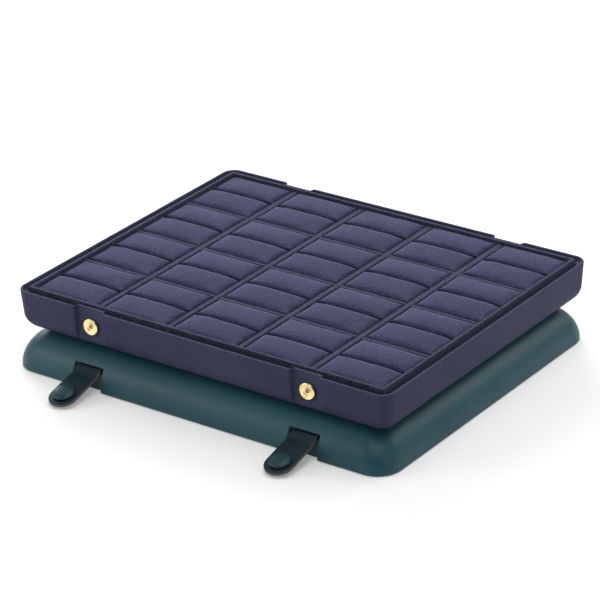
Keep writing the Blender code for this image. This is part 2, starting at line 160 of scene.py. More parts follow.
def widen(tree, value, low, high, to_low=0.0, to_high=1.0):
    node = tree.nodes.new("ShaderNodeMapRange")
    for socket, number in (("Value", value), ("From Min", low), ("From Max", high),
                           ("To Min", to_low), ("To Max", to_high)):
        feed(tree, node.inputs[socket], number)
    return node.outputs["Result"]


print("node helpers ready")

# %% [markdown]
# ## Light
# A studio tabletop with a soft surround and six soft boxes. The surround is dim on the camera's
# side, where the photographer stood, and brighter behind the case, which gives the walls their
# depth. For the camera itself it is plain white. The largest box stands low at the back left and
# brushes over the suede, and one at the back right draws the light band on the lid's shoulder. A
# left and a right box are close enough for the walls to fall off in brightness along their length.

# %% Surround and lamps
scene = bpy.context.scene
scene.view_settings.view_transform = "Standard"
world = bpy.data.worlds.new("studio")
scene.world = world
world.use_nodes = True
sky = world.node_tree
backdrop = sky.nodes["Background"]
backdrop.inputs["Color"].default_value = (1.0, 1.0, 1.0, 1.0)
DIM_SIDE = (0.60, -0.80, 0.0)
towards = sky.nodes.new("ShaderNodeVectorMath")
towards.operation = "DOT_PRODUCT"
towards.inputs[1].default_value = DIM_SIDE
sky.links.new(sky.nodes.new("ShaderNodeTexCoord").outputs["Generated"], towards.inputs[0])
strength = widen(sky, towards.outputs["Value"], -0.2, 0.9, 0.42, 0.05)
in_view = sky.nodes.new("ShaderNodeLightPath").outputs["Is Camera Ray"]
sky.links.new(math_node(sky, "MAXIMUM", strength, in_view), backdrop.inputs["Strength"])

LIT_SPOT = Vector((0.0, 0.0, 0.02))
LAMPS = {"over_box": ((0.20, 0.15, 1.35), (1.0, 0.9), 4.0),
         "front_top_box": ((0.40, -0.55, 1.20), (0.7, 0.7), 3.0),
         "back_left_box": ((-1.10, 0.90, 0.70), (1.1, 0.8), 13.5),
         "right_box": ((1.00, -0.30, 0.40), (0.5, 0.5), 0.8),
         "back_right_box": ((0.70, 1.20, 0.85), (0.9, 0.7), 4.2),
         "left_box": ((-0.80, -0.80, 0.42), (0.6, 0.6), 3.0)}
for name, (place, size, power) in LAMPS.items():
    data = bpy.data.lights.new(name, "AREA")
    data.shape = "RECTANGLE"
    data.size, data.size_y = size
    data.energy = power
    lamp = bpy.data.objects.new(name, data)
    scene.collection.objects.link(lamp)
    aim = (LIT_SPOT - Vector(place)).to_track_quat("-Z", "Y").to_matrix().to_4x4()
    lamp.matrix_world = Matrix.Translation(Vector(place)) @ aim
print(len(LAMPS), "soft boxes of", sum(power for *_, power in LAMPS.values()), "W together")

# %% [markdown]
# ## Floor
# The table is a sheet of paper. It lights the case from below as a mid grey, but seen by the camera
# or in a gloss it is white and glows a little, which clears the background and keeps the soft
# shadows. Where the lamps don't reach, more than 0.9 m away, it glows more and so stays white.

# %% Floor
PAPER_HALF = 6.0
PAPER_GREY, PAPER_WHITE = (0.45,) * 3, (1.0,) * 3
NO_GLOW, PAPER_GLOW = (0.0,) * 3, (0.21,) * 3
LAMPS_END, ALL_GLOW, FAR_GLOW = 0.9, 2.2, 3.8
bm = bmesh.new()
bmesh.ops.create_grid(bm, x_segments=1, y_segments=1, size=PAPER_HALF)
bmesh.ops.translate(bm, verts=bm.verts, vec=(0.0, 0.0, -0.0001))
floor_mesh = bpy.data.meshes.new("floor")
bm.to_mesh(floor_mesh)
bm.free()
floor = bpy.data.objects.new("floor", floor_mesh)
scene.collection.objects.link(floor)
paper = bpy.data.materials.new("white_paper")
paper.use_nodes = True
tree = paper.node_tree
shader = tree.nodes["Principled BSDF"]
shader.inputs["Roughness"].default_value = 0.85
shader.inputs["Specular IOR Level"].default_value = 0.2
path = tree.nodes.new("ShaderNodeLightPath")
in_view = path.outputs["Is Camera Ray"]
seen = math_node(tree, "MAXIMUM", in_view, path.outputs["Is Glossy Ray"])
tree.links.new(blend_colours(tree, seen, PAPER_GREY, PAPER_WHITE), shader.inputs["Base Color"])
tree.links.new(blend_colours(tree, seen, NO_GLOW, PAPER_GLOW), shader.inputs["Emission Color"])
away = tree.nodes.new("ShaderNodeVectorMath")
away.operation = "LENGTH"
tree.links.new(tree.nodes.new("ShaderNodeTexCoord").outputs["Object"], away.inputs[0])
far = widen(tree, away.outputs["Value"], LAMPS_END, ALL_GLOW, 0.0, FAR_GLOW)
tree.links.new(math_node(tree, "MULTIPLY_ADD", far, in_view, 1.0), shader.inputs["Emission Strength"])
floor_mesh.materials.append(paper)
print("floor", 2 * PAPER_HALF, "m wide")

# %% [markdown]
# ## Shared effects
# Two effects come back in several finishes, so each is a node group with named sockets. The grain
# group makes the fine pebbles of leatherette: cells about half a millimetre across from a Voronoi
# texture, roughened by noise. The nap group makes the short pile of suede: fine fibres, tufts about
# a millimetre across, and broad soft patches where the pile leans another way. Both read object
# coordinates, so they stay on the piece when it moves.

# %% Node groups for grain and nap


def group_with(name, inputs, outputs):
    group = bpy.data.node_groups.new(name, "ShaderNodeTree")
    for socket, kind, value in inputs:
        made = group.interface.new_socket(socket, in_out="INPUT", socket_type=kind)
        if value is not None:
            made.default_value = value
    for socket in outputs:
        group.interface.new_socket(socket, in_out="OUTPUT", socket_type="NodeSocketFloat")
    return group, group.nodes.new("NodeGroupInput"), group.nodes.new("NodeGroupOutput")


grain_group, way_in, way_out = group_with(
    "leather_grain",
    [("Vector", "NodeSocketVector", None), ("Scale", "NodeSocketFloat", 1800.0)],
    ["Height", "Tone", "Cloud"])
cells = grain_group.nodes.new("ShaderNodeTexVoronoi")
cells.feature = "SMOOTH_F1"
spots = way_in.outputs["Vector"]
grain_group.links.new(spots, cells.inputs["Vector"])
grain_group.links.new(way_in.outputs["Scale"], cells.inputs["Scale"])
fine = noise_node(grain_group, spots, 5200.0, 3.0)
pebble = math_node(grain_group, "SUBTRACT", 1.0, cells.outputs["Distance"])
height = math_node(grain_group, "MULTIPLY_ADD", fine, 0.35, pebble)
grain_group.links.new(height, way_out.inputs["Height"])
grain_group.links.new(noise_node(grain_group, spots, 700.0, 4.0), way_out.inputs["Tone"])
grain_group.links.new(noise_node(grain_group, spots, 28.0, 2.0), way_out.inputs["Cloud"])

nap_group, way_in, way_out = group_with(
    "suede_nap",
    [("Vector", "NodeSocketVector", None), ("Scale", "NodeSocketFloat", 2600.0)],
    ["Height", "Speckle", "Lean"])
spots = way_in.outputs["Vector"]
fibre = noise_node(nap_group, spots, way_in.outputs["Scale"], 4.0, 0.7)
tuft = noise_node(nap_group, spots, 1050.0, 3.0, 0.7)
height = math_node(nap_group, "MULTIPLY_ADD", tuft, 1.9, fibre)
nap_group.links.new(height, way_out.inputs["Height"])
nap_group.links.new(tuft, way_out.inputs["Speckle"])
nap_group.links.new(noise_node(nap_group, spots, 55.0, 3.0, 0.55), way_out.inputs["Lean"])
print("groups:", grain_group.name, "and", nap_group.name)

# %% [markdown]
# ## Finishes
# Each finish is its own material with one Principled shader. Colours that vary are mixed from two
# tones by the groups' masks, and numbers that are the same all over are typed on the shader itself.
# Leatherette is a soft plastic skin: medium rough, with grain in a bump. Suede has no gloss at
# all, but its pile catches light at a glancing angle, which the shader's sheen gives. Some pieces
# carry a painted shade value on their points, for the shade in slits, grooves and recesses, and
# there their colour is painted down to a deep shade.

# %% Helpers for finishes


def new_finish(name):
    made = bpy.data.materials.new(name)
    made.use_nodes = True
    tree = made.node_tree
    spots = tree.nodes.new("ShaderNodeTexCoord").outputs["Object"]
    return made, tree, tree.nodes["Principled BSDF"], spots


def place_group(tree, group, spots, scale):
    node = tree.nodes.new("ShaderNodeGroup")
    node.node_tree = group
    tree.links.new(spots, node.inputs["Vector"])
    node.inputs["Scale"].default_value = scale
    return node


def add_bump(tree, shader, height, distance, strength):
    node = tree.nodes.new("ShaderNodeBump")
    node.inputs["Distance"].default_value = distance
    node.inputs["Strength"].default_value = strength
    tree.links.new(height, node.inputs["Height"])
    tree.links.new(node.outputs["Normal"], shader.inputs["Normal"])


def shade(colour, share):
    return tuple(share * c for c in colour)


# Painted shade: where a piece's points carry the painted shade value, the colour is mixed down to a
# deep shade of the dark tone.
def paint_in_shade(tree, colour, dark):
    painted_shade = tree.nodes.new("ShaderNodeAttribute")
    painted_shade.attribute_name = "painted_shade"
    return blend_colours(tree, painted_shade.outputs["Fac"], colour, shade(dark, 0.12))


def leatherette(name, dark, light, rough=0.46, grain=1800.0, depth=0.00003, specular=0.42,
                with_shade_paint=False):
    made, tree, shader, spots = new_finish(name)
    texture = place_group(tree, grain_group, spots, grain)
    cloud = widen(tree, texture.outputs["Cloud"], 0.35, 0.65)
    speck = widen(tree, texture.outputs["Tone"], 0.3, 0.7, 0.0, 0.22)
    colour = blend_colours(tree, speck, blend_colours(tree, cloud, dark, light), shade(dark, 0.72))
    # painted shade in slits, grooves and recesses
    if with_shade_paint:
        colour = paint_in_shade(tree, colour, dark)
    tree.links.new(colour, shader.inputs["Base Color"])
    worn = widen(tree, texture.outputs["Tone"], 0.3, 0.7, rough - 0.04, rough + 0.05)
    tree.links.new(worn, shader.inputs["Roughness"])
    shader.inputs["Specular IOR Level"].default_value = specular
    add_bump(tree, shader, texture.outputs["Height"], depth, 0.45)
    return made


def suede(name, dark, light, sheen=0.45, sheen_tint=(0.62, 0.62, 0.95), depth=0.00014,
          with_shade_paint=False):
    made, tree, shader, spots = new_finish(name)
    texture = place_group(tree, nap_group, spots, 2600.0)
    lean = widen(tree, texture.outputs["Lean"], 0.35, 0.65)
    speck = widen(tree, texture.outputs["Speckle"], 0.40, 0.60, 0.0, 0.9)
    colour = blend_colours(tree, speck, blend_colours(tree, lean, dark, light), shade(dark, 0.36))
    # painted shade in slits, grooves and recesses
    if with_shade_paint:
        colour = paint_in_shade(tree, colour, dark)
    tree.links.new(colour, shader.inputs["Base Color"])
    shader.inputs["Roughness"].default_value = 1.0
    shader.inputs["Specular IOR Level"].default_value = 0.12
    shader.inputs["Sheen Weight"].default_value = sheen
    shader.inputs["Sheen Roughness"].default_value = 0.38
    shader.inputs["Sheen Tint"].default_value = sheen_tint + (1.0,)
    add_bump(tree, shader, texture.outputs["Height"], depth, 0.8)
    return made


# %% [markdown]
# The colours are linear values read against the photograph under these lamps. The navy skin
# is nearly without gloss, the teal one a little silkier, and the straps are a much darker green.

# %% Leather and suede
navy_leather = leatherette("navy_leatherette", (0.064, 0.066, 0.132), (0.075, 0.077, 0.150),
                           rough=0.60, specular=0.15, with_shade_paint=True)
teal_leather = leatherette("teal_leatherette", (0.018, 0.086, 0.113), (0.023, 0.102, 0.133),
                           rough=0.42, specular=0.38, with_shade_paint=True)
strap_skin = leatherette("strap_leather", (0.006, 0.022, 0.031), (0.008, 0.027, 0.037),
                         rough=0.52, grain=2200.0, specular=0.32)
cap_skin = leatherette("cap_leather", (0.011, 0.046, 0.064), (0.014, 0.055, 0.075),
                       rough=0.40, grain=2200.0)
pad_suede = suede("pad_suede", (0.042, 0.042, 0.098), (0.053, 0.053, 0.120), sheen=0.80,
                  sheen_tint=(0.60, 0.60, 1.0), with_shade_paint=True)
strip_suede = suede("divider_suede", (0.062, 0.062, 0.116), (0.074, 0.074, 0.134))
lining_suede = suede("lid_lining_suede", (0.050, 0.050, 0.090), (0.060, 0.060, 0.108))
print("leather and suede ready")

# %% [markdown]
# The rest is what shows at edges and in the hardware: the raw grey edge of split leather, pale
# brass rubbed a little unevenly, the darker spring wire, and the fibre board of the shells.

# %% Edge, metal and board


def rubbed_finish(name, grain, first, second, roughness, span=(0.3, 0.7)):
    made, tree, shader, spots = new_finish(name)
    rub = noise_node(tree, spots, *grain)
    tree.links.new(blend_colours(tree, widen(tree, rub, *span), first, second),
                   shader.inputs["Base Color"])
    shader.inputs["Roughness"].default_value = roughness
    return made, tree, shader, rub


raw_edge, tree, shader, layers = rubbed_finish(
    "raw_leather_edge", (2400.0, 4.0, 0.7), (0.115, 0.100, 0.100), (0.24, 0.21, 0.21), 0.85)
add_bump(tree, shader, layers, 0.00008, 0.6)
brass, tree, shader, rub = rubbed_finish(
    "pale_brass", (420.0, 5.0, 0.6), (0.97, 0.84, 0.50), (0.90, 0.70, 0.34), 0.3, (0.35, 0.7))
tree.links.new(widen(tree, rub, 0.3, 0.7, 0.22, 0.36), shader.inputs["Roughness"])
shader.inputs["Metallic"].default_value = 1.0
spring_brass, tree, shader, rub = rubbed_finish(
    "spring_brass", (900.0, 4.0, 0.6), (0.50, 0.24, 0.05), (0.30, 0.12, 0.03), 0.4)
shader.inputs["Metallic"].default_value = 0.8
shell_board, tree, shader, flecks = rubbed_finish(
    "moulded_shell", (800.0, 5.0, 0.7), (0.15, 0.125, 0.10), (0.21, 0.175, 0.14), 0.85)
add_bump(tree, shader, flecks, 0.00005, 0.4)
print(len(bpy.data.materials), "finishes so far")

# %% [markdown]
# ## Making pieces
# Every new piece is built in a bmesh, then made an object that stands at the origin, with its
# place in its mesh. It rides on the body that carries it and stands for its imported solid. A loft
# comes from outlines that are bridged one to the next while they are still far apart in height,
# and are then set to their true heights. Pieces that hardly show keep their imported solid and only
# take a finish.

# %% Helpers for pieces


def make_piece(bm, name, finishes, body, node=None, smooth=40.0):
    bmesh.ops.remove_doubles(bm, verts=bm.verts, dist=1e-6)
    mesh = bpy.data.meshes.new(name)
    bm.to_mesh(mesh)
    bm.free()
    mesh.shade_smooth()
    mesh.set_sharp_from_angle(angle=math.radians(smooth))
    for finish in finishes:
        mesh.materials.append(finish)
    piece = bpy.data.objects.new(name, mesh)
    scene.collection.objects.link(piece)
    if body:
        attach(piece, body)
    if node:
        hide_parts(node)
    return piece


def outline(bm, half_x, half_y, corner, z, middle_y=0.0, steps=10):
    card = bmesh.ops.create_grid(bm, x_segments=1, y_segments=1, size=1.0)["verts"]
    bmesh.ops.scale(bm, verts=card, vec=(half_x, half_y, 1.0))
    bmesh.ops.translate(bm, verts=card, vec=(0.0, middle_y, z))
    faces = {f for v in card for f in v.link_faces}
    if corner > 0:
        made = bmesh.ops.bevel(bm, geom=card, offset=corner, offset_type="OFFSET", segments=steps,
                               profile=0.5, affect="VERTICES", material=-1)
        faces = {f for v in made["verts"] for f in v.link_faces}
    edges = list({e for f in faces for e in f.edges})
    bmesh.ops.delete(bm, geom=list(faces), context="FACES_ONLY")
    return edges


def stack_up(bm, sections, middle_y=0.0, closed=False):
    rows, heights = [], []
    for k, (half_x, half_y, corner, z) in enumerate(sections):
        rows.append(outline(bm, half_x, half_y, corner, 0.05 * k, middle_y))
        heights.append(({v for e in rows[-1] for v in e.verts}, z))
    pairs = list(zip(rows[:-1], rows[1:]))
    if closed:
        pairs.append((rows[-1], rows[0]))
    for low, high in pairs:
        bmesh.ops.bridge_loops(bm, edges=low + high)
    for verts, z in heights:
        for v in verts:
            v.co.z = z
    return rows


def cut_at_x(bm, places):
    for x in places:
        bmesh.ops.bisect_plane(bm, geom=list(bm.verts) + list(bm.edges) + list(bm.faces),
                               dist=1e-7, plane_co=(x, 0.0, 0.0), plane_no=(1.0, 0.0, 0.0))


def ease(t):
    t = min(max(t, 0.0), 1.0)
    return t * t * (3 - 2 * t)


def keep_packed(node, finish):
    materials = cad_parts[node].data.materials
    materials.clear()
    materials.append(finish)


print("helpers ready")

# %% [markdown]
# ## The lid
# The lid is a shallow cap: its wall rises straight for a millimetre and then rolls over in a
# quarter circle to a flat top. It could be a beveled box, but the corner is tighter than the crown,
# so it is lofted instead: rounded outlines, one per height, are bridged from the rim to the top.
# The channels for the straps are pressed in afterwards. Extra cuts across the wall give the press
# something to bend, and every point in a channel is pushed back to the channel's floor, with
# soft sides like those of a skin pulled over a moulded step. Behind each strap the floor drops
# once more, in two rows a tenth of a millimetre apart, which makes the slit. The points in the
# slit get the full painted shade value and those in the channel about half of it, a painted
# shadow where the strap and the recess keep the light out.

# %% Lid skin


def crown_height(degrees, radius):
    return LID_H - CROWN_R + radius * math.sin(math.radians(degrees))


def crown_inset(z, radius):
    sine = max(0.0, (z - (LID_H - CROWN_R)) / radius)
    return CROWN_R - radius * math.sqrt(max(0.0, 1 - min(1.0, sine) ** 2))


SLIT_LOW = SLIT_Z - STRAP_T / 2 - 2 * GAP
SLIT_HIGH = SLIT_Z + STRAP_T / 2 + GAP + 0.0004
SIDE_STEPS = [0.0, 0.15, 0.3, 0.45, 0.6, 0.8, 1.0]
STATIONS = (-STRAP_X, STRAP_X)
# share of the painted shade in the channel below the slit
CHANNEL_SHADE = 0.55


def channel_cuts():
    places = []
    for station in STATIONS:
        for side in (-1, 1):
            places += [station + side * (CHANNEL_HALF + CHANNEL_SIDE * s) for s in SIDE_STEPS]
            places.append(station + side * (CHANNEL_HALF + 1.25 * CHANNEL_SIDE))
    return places


def channel_share(x, station):
    return 1.0 - ease((abs(x - station) - CHANNEL_HALF) / CHANNEL_SIDE)


def press_channels(bm, middle_y, floor_at):
    painted_shade = bm.verts.layers.float.new("painted_shade")
    for v in bm.verts:
        y = v.co.y - middle_y
        reach = floor_at(v.co.z)
        if reach is None or abs(y) <= reach:
            continue
        in_slit = SLIT_LOW < v.co.z < SLIT_HIGH + 0.00005
        for station in STATIONS:
            share = channel_share(v.co.x, station)
            if share > 0:
                v.co.y = middle_y + math.copysign(abs(y) - share * (abs(y) - reach), y)
                # painted shade: full in the slit, about half in the channel, for the shadow of the
                # strap and recess
                v[painted_shade] = share * (1.0 if in_slit else CHANNEL_SHADE)


def lid_floor(z):
    if z > SLIT_HIGH + 0.00005:
        return None
    if z > SLIT_LOW + 0.00005:
        return LID_CHANNEL - SLIT_DEPTH
    return LID_CHANNEL


def lid_shell(inside, rim):
    radius = CROWN_R - inside
    heights = [rim, rim + 0.0003, LID_H - CROWN_R]
    heights += [crown_height(a, radius) for a in (5, 10, 15, 20)]
    low, high = SLIT_LOW, SLIT_HIGH
    heights += [low, low + 0.0001, (low + high) / 2, high, high + 0.0001]
    heights += [crown_height(a, radius) for a in (42, 48, 54, 60, 66, 72, 78, 84, 90)]
    bm = bmesh.new()
    sections = []
    for z in heights:
        inset = crown_inset(z, radius) + (0.00025 if z == rim else 0.0)
        corner = LID_CORNER - CORNER_SHRINK * (inset - inside) - inside
        sections.append((LX - inset, LY - inset, corner, z))
    rows = stack_up(bm, sections)
    bmesh.ops.contextual_create(bm, geom=rows[-1])
    return bm


bm = lid_shell(0.0, GAP)
cut_at_x(bm, channel_cuts())
press_channels(bm, 0.0, lid_floor)
bmesh.ops.recalc_face_normals(bm, faces=bm.faces)
lid_skin = make_piece(bm, "lid_leather", [teal_leather], "lid", "lid_cover",
                      50.0)
wall = lid_skin.modifiers.new("thickness", "SOLIDIFY")
wall.thickness, wall.offset = LEATHER, -1.0
print("lid skin:", len(lid_skin.data.polygons), "faces")

# %% [markdown]
# Under the skin lies the moulded shell, and inside it the suede lining. The shell keeps its packed
# solid, which shows only at the rim. The lining is lofted in the same way as the skin, so that the
# channels show on the inside too, set off by the thickness of the shell.

# %% Lid lining
LINING_IN = 0.0046
CLOTH = 0.0004
SHELL_AND_GAPS = 0.0040
CHANNEL_FOOT = 0.004
bm = lid_shell(LINING_IN - CLOTH, GAP)
inner_floor = LID_CHANNEL - SHELL_AND_GAPS


def lining_floor(z):
    return inner_floor if z < CHANNEL_FOOT else inner_floor - SLIT_DEPTH - CLOTH


cut_at_x(bm, channel_cuts())
press_channels(bm, 0.0, lining_floor)
bmesh.ops.recalc_face_normals(bm, faces=bm.faces)
lining = make_piece(bm, "lid_lining_cloth", [lining_suede], "lid", "lid_lining",
                    50.0)
wall = lining.modifiers.new("thickness", "SOLIDIFY")
wall.thickness, wall.offset = CLOTH, -1.0
keep_packed("lid_core", shell_board)
print("lining:", len(lining.data.polygons), "faces")

# %% [markdown]
# ## The tray's skin
# The tray is a flat box with a large rounded foot. Its skin turns over a soft cord at the rim, the
# welt, which catches a thin line of light, and then drops to a narrow ledge round the suede
# insert. The rows run from the middle of the bottom up the outside, over the welt and down to the
# ledge. The channels reach up through the rim, where the welt bends in with them. The ledge lies
# in a groove between welt and frame, so its points get a painted shade value too, stronger near
# the welt, for the shade that falls in the groove.

# %% Tray skin
LEDGE_Z = RIM_Z - LEDGE_DROP
LEDGE_IN = 0.0051
LEDGE_SHADE, LEDGE_SHADE_INNER = 0.68, 0.5
bm = bmesh.new()
sections = []
for degrees in (90, 81, 72, 63, 54, 45, 36, 27, 18, 9, 0):
    a = math.radians(degrees)
    inset = DRAFT + FOOT_R - FOOT_R * math.cos(a)
    z = TRAY_Z + FOOT_R - FOOT_R * math.sin(a)
    sections.append((inset, TRAY_CORNER - CORNER_SHRINK * inset, z))
for share in (0.33, 0.66):
    z = TRAY_Z + FOOT_R + share * (RIM_Z - WELT / 2 - TRAY_Z - FOOT_R)
    inset = DRAFT * (1 - share)
    sections.append((inset, TRAY_CORNER - CORNER_SHRINK * inset, z))
for degrees in (180, 160, 140, 120, 100, 80, 60, 40, 20, 0):
    a = math.radians(degrees)
    inset = WELT / 2 * (1 + math.cos(a))
    sections.append((inset, TRAY_CORNER - inset, RIM_Z - WELT / 2 * (1 - math.sin(a))))
sections.append((WELT, TRAY_CORNER - WELT, LEDGE_Z + 0.0003))
sections.append((WELT + 0.0003, TRAY_CORNER - WELT - 0.0003, LEDGE_Z))
sections.append((LEDGE_IN, 0.0006, LEDGE_Z))
rows = stack_up(bm, [(TX - inset, TY - inset, corner, z) for inset, corner, z in sections], TRAY_Y)
bmesh.ops.contextual_create(bm, geom=rows[0])
cut_at_x(bm, channel_cuts())
print("tray rows:", len(rows))

# %% [markdown]
# The channels are pressed into the tray as into the lid. The welt must keep its roundness where it
# bends in, so its points move by the same way as the wall below them, and the inner end of the
# ledge, under the frame, stays where it is.

# %% Press the tray's channels


def press_tray(bm):
    painted_shade = bm.verts.layers.float.new("painted_shade")
    for v in bm.verts:
        y = v.co.y - TRAY_Y
        inward = min(TX - abs(v.co.x), TY - abs(y))
        # painted shade on the ledge, for the shade in the groove between welt and frame
        if LEDGE_Z - 0.0001 < v.co.z < LEDGE_Z + 0.0004 and inward > WELT - 0.0001:
            v[painted_shade] = LEDGE_SHADE if inward < 0.003 else LEDGE_SHADE_INNER
        reach = TRAY_CHANNEL
        if v.co.z > LEDGE_Z - 0.00005 and TY - abs(y) < LEDGE_IN - 0.0002:
            reach -= min(max(0.0, TY - abs(y)), WELT + 0.0003)
        for station in STATIONS:
            share = channel_share(v.co.x, station)
            if share > 0 and abs(y) > reach:
                v.co.y = TRAY_Y + math.copysign(abs(y) - share * (abs(y) - reach), y)


press_tray(bm)
bmesh.ops.recalc_face_normals(bm, faces=bm.faces)
tray_skin = make_piece(bm, "tray_leather", [navy_leather], "tray", "tray_cover",
                       60.0)
wall = tray_skin.modifiers.new("thickness", "SOLIDIFY")
wall.thickness, wall.offset = LEATHER, -1.0
for node in ("tray_core", "insert_base"):
    keep_packed(node, shell_board)
print("tray skin:", len(tray_skin.data.polygons), "faces")

# %% [markdown]
# ## The suede insert
# A frame of board wrapped in suede stands on the ledge and holds the cells. Its corners are
# mitred, so they stay sharp, while its long edges are soft where the cloth turns over the board.
# Rows without any corner radius, bridged like the skin's, give exactly that.

# %% Frame of the insert
INSERT_Z = frame_low.z
FRAME_T = 0.0020
RELIEF = 0.0008
LIP = 0.0032
FOLD_R = 0.0004
HOLD = 0.00012
bm = bmesh.new()
section = [(RELIEF, INSERT_Z), (RELIEF, FRAME_TOP - LIP), (0.0, FRAME_TOP - LIP)]
section.append((0.0, FRAME_TOP - FOLD_R - HOLD))
for degrees in (0, 22.5, 45, 67.5, 90):
    a = math.radians(degrees)
    section.append((FOLD_R * (1 - math.cos(a)), FRAME_TOP - FOLD_R * (1 - math.sin(a))))
section += [(FOLD_R + HOLD, FRAME_TOP), (FRAME_T - FOLD_R - HOLD, FRAME_TOP)]
for degrees in (90, 67.5, 45, 22.5, 0):
    a = math.radians(degrees)
    section.append((FRAME_T - FOLD_R * (1 - math.cos(a)), FRAME_TOP - FOLD_R * (1 - math.sin(a))))
section += [(FRAME_T, FRAME_TOP - FOLD_R - HOLD), (FRAME_T, INSERT_Z)]
stack_up(bm, [(FRAME_X - inset, FRAME_Y - inset, 0.0, z) for inset, z in section], TRAY_Y,
         closed=True)
bmesh.ops.recalc_face_normals(bm, faces=bm.faces)
make_piece(bm, "insert_frame_suede", [strip_suede], "tray", "insert_frame", 60.0)
print("frame:", round(2000 * FRAME_X, 1), "x", round(2000 * FRAME_Y, 1), "mm")

# %% [markdown]
# The dividers are boards in suede sleeves, slotted into each other where they cross. The packed
# solids already have the slots and rounded tops, but their triangles are loose, so a copy is
# merged, freed of needless edges and given soft edges, as cloth over a board has.

# %% Dividers


def sleeve(node, name):
    bm = bmesh.new()
    bm.from_mesh(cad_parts[node].data)
    bmesh.ops.remove_doubles(bm, verts=bm.verts, dist=1e-6)
    bmesh.ops.dissolve_limit(bm, angle_limit=math.radians(1.0), verts=bm.verts, edges=bm.edges)
    flats = [f for f in bm.faces if f.calc_area() > 0.00002]
    bmesh.ops.inset_individual(bm, faces=flats, thickness=HOLD, depth=0.0, use_even_offset=True)
    bmesh.ops.triangulate(bm, faces=[f for f in bm.faces if len(f.verts) > 8])
    return make_piece(bm, name, [strip_suede], "tray", node, 50.0)


strips = [sleeve("divider_long_%d" % i, "divider_long_%d_suede" % i) for i in (1, 2, 3, 4)]
strips += [sleeve("divider_cross_%d" % i, "divider_cross_%d_suede" % i) for i in (1, 2, 3)]
print(len(strips), "dividers")

# %% [markdown]
# ## Ring pads
# Each cell holds one padded piece: two rolls of foam under suede, with a tight slit between them for
# the ring's band. A stuffed thing looks right when it is stuffed, so the suede is a cloth simulation
# over a block. The block is cut into a grid, closer towards its edges, its top is arched across each
# roll, and its ends sink, as the sewn ends of the real rolls do. A little noise, another for each
# seed, keeps the rolls from looking machined.

# %% Cells and rolls
PAD_SLIT = 0.0007
SLIT_DEEP = 0.0120
PAD_CREST = 0.0004
PAD_LOW, PAD_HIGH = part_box("ring_pad_c1_r1")
CELL_X = (PAD_HIGH.x - PAD_LOW.x) / 2
CELL_Y = (PAD_HIGH.y - PAD_LOW.y) / 2
PAD_TALL = RIM_Z + PAD_CREST - PAD_LOW.z
PAD_OUTER, PAD_LIP, PAD_HEEL, PAD_BACK, PAD_END = 0.0019, 0.0001, 0.0016, 0.0013, 0.0017
FRONT_CREST_AT, BACK_CREST_AT, END_POWER = 0.35, -0.15, 2.6
LUMP = 0.0002
HALF_ROLL_CUTS = (0.15, 0.3, 0.45, 0.6, 0.75, 0.87, 0.96)
ROLL_CUTS = [-share for share in reversed(HALF_ROLL_CUTS)] + [0.0] + list(HALF_ROLL_CUTS)
END_CUTS = (0.0, 0.09, 0.18, 0.27, 0.36, 0.45, 0.54, 0.63, 0.72, 0.80, 0.87, 0.93, 0.975)
WALL_CUTS = (0.0027, 0.0040, 0.0060, 0.0085)
SLIT_ROWS = (1.0, 0.96, 0.8)
SLIT_EDGE = 0.0006
print("cell", round(2000 * CELL_X, 1), "x", round(2000 * CELL_Y, 1), "mm")
print("pad", round(1000 * PAD_TALL, 1), "mm tall")


def slice_block(bm, place, direction):
    bmesh.ops.bisect_plane(bm, geom=list(bm.verts) + list(bm.edges) + list(bm.faces), dist=1e-7,
                           plane_co=place, plane_no=direction)


def roll_drop(side, u):
    crest_at, front, back = FRONT_CREST_AT, PAD_OUTER, PAD_LIP
    if side > 0:
        crest_at, front, back = BACK_CREST_AT, PAD_HEEL, PAD_BACK
    if u < crest_at:
        return front * ((crest_at - u) / (crest_at + 1)) ** 2
    return back * ((u - crest_at) / (1 - crest_at)) ** 2


def pad_block(seed, half_slit, slim):
    bm = bmesh.new()
    bmesh.ops.create_cube(bm, size=2.0)
    bmesh.ops.scale(bm, verts=bm.verts, vec=(CELL_X - slim, CELL_Y - slim, PAD_TALL / 2))
    bmesh.ops.translate(bm, verts=bm.verts, vec=(0.0, 0.0, PAD_TALL / 2))
    middle, half = (CELL_Y - slim + half_slit) / 2, (CELL_Y - slim - half_slit) / 2
    for side in (-1, 1):
        for share in ROLL_CUTS:
            slice_block(bm, (0, side * (middle + share * half), 0), (0, 1, 0))
        for share in SLIT_ROWS:
            slice_block(bm, (0, side * share * half_slit, 0), (0, 1, 0))
        for share in END_CUTS:
            slice_block(bm, (side * share * CELL_X, 0, 0), (1, 0, 0))
    for v in bm.verts:
        if v.co.z < PAD_TALL - 1e-6:
            continue
        if abs(v.co.y) < 0.9 * half_slit:
            v.co.z -= SLIT_DEEP
            continue
        if abs(v.co.y) < 0.98 * half_slit:
            v.co.z -= SLIT_EDGE
        side = math.copysign(1, v.co.y)
        u = side * (abs(v.co.y) - middle) / half
        droop = abs(v.co.x / CELL_X) ** END_POWER
        lump = LUMP * noise.noise(Vector((90 * v.co.x, 90 * v.co.y, 5.1 * seed)))
        v.co.z += lump - roll_drop(side, u) * (1 - droop) - PAD_END * droop
    for depth in WALL_CUTS:
        slice_block(bm, (0, 0, PAD_TALL - depth), (0, 0, 1))
    return bm


# %% [markdown]
# Now the block is stuffed. Its lower part is pinned, as glue and its neighbours hold it, and
# pressure swells the rest for twenty frames. Cloth is steadier at the size of a cushion, so it is
# done twelve times as large. No point may go further than the suede would stretch.

# %% Swell a block
PINNED = 0.62
PRESSURE = 1.0
FRAMES = 20
SWELL_SCALE = 12.0
LARGEST_MOVE = 0.0004


